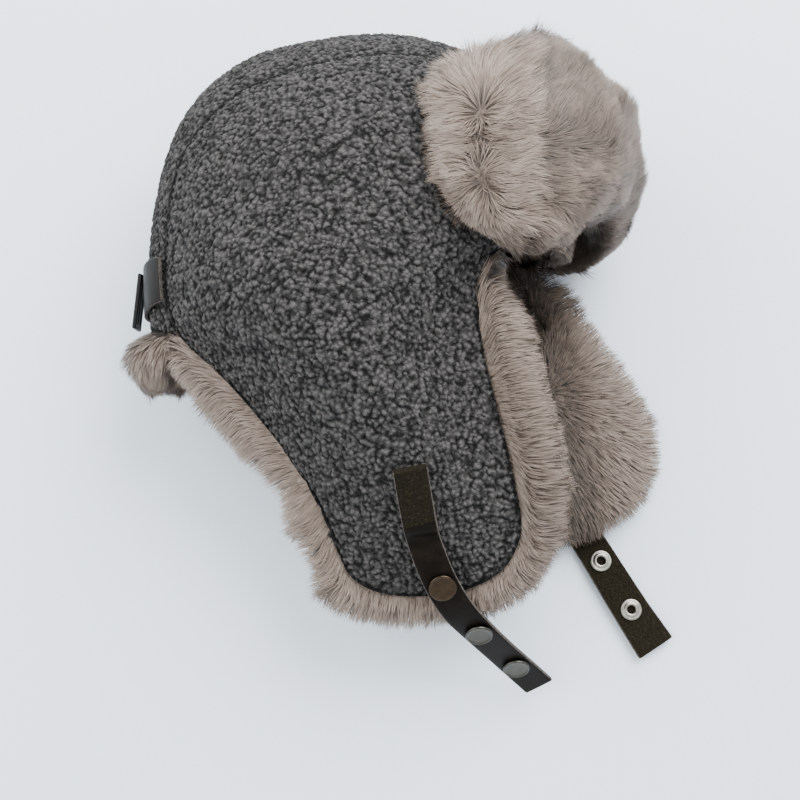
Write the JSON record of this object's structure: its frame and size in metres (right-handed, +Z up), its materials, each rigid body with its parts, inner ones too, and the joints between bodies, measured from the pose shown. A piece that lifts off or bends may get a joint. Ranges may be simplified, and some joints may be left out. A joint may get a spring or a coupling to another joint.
{
  "type": "trapper hat with ear flaps",
  "caption": "Fur lined trapper hat lying on its side: curly sherpa crown with ear flaps, a turned up fur front flap, leather chin straps with snaps and a rear adjuster band.",
  "frame": {"origin": "middle of the bounding box's base, on the surface the hat lies on", "axes": "+X points where the wearer would look, +Y to the top of the crown, +Z up from the surface, out of the wearer's right side"},
  "size_m": [0.3166, 0.3784, 0.1657],
  "materials": {
    "sherpa": "curly sherpa pile, matt",
    "fur": "long pile faux fur, soft sheen",
    "strap_leather": "black leather, satin outside, suede inside",
    "bronze_snap": "antique bronze plating",
    "gunmetal_snap": "gunmetal plating",
    "socket_metal": "nickel plating",
    "slider_plastic": "black moulded plastic"
  },
  "bodies": {
    "root": {"right_side_panel": "sherpa", "left_side_panel": "sherpa", "centre_panel": "sherpa", "right_flap_fur": "fur", "left_flap_fur": "fur", "nape_fur": "fur", "front_flap": "fur", "right_strap": "strap_leather", "left_strap": "strap_leather", "back_strap": "strap_leather", "right_snap_cap_1": "bronze_snap", "right_snap_cap_2": "gunmetal_snap", "right_snap_cap_3": "gunmetal_snap", "left_snap_socket_1": "socket_metal", "left_snap_socket_2": "socket_metal", "left_snap_cap_1": "gunmetal_snap", "left_snap_cap_2": "gunmetal_snap", "back_slider": "slider_plastic"}
  },
  "joints": []
}
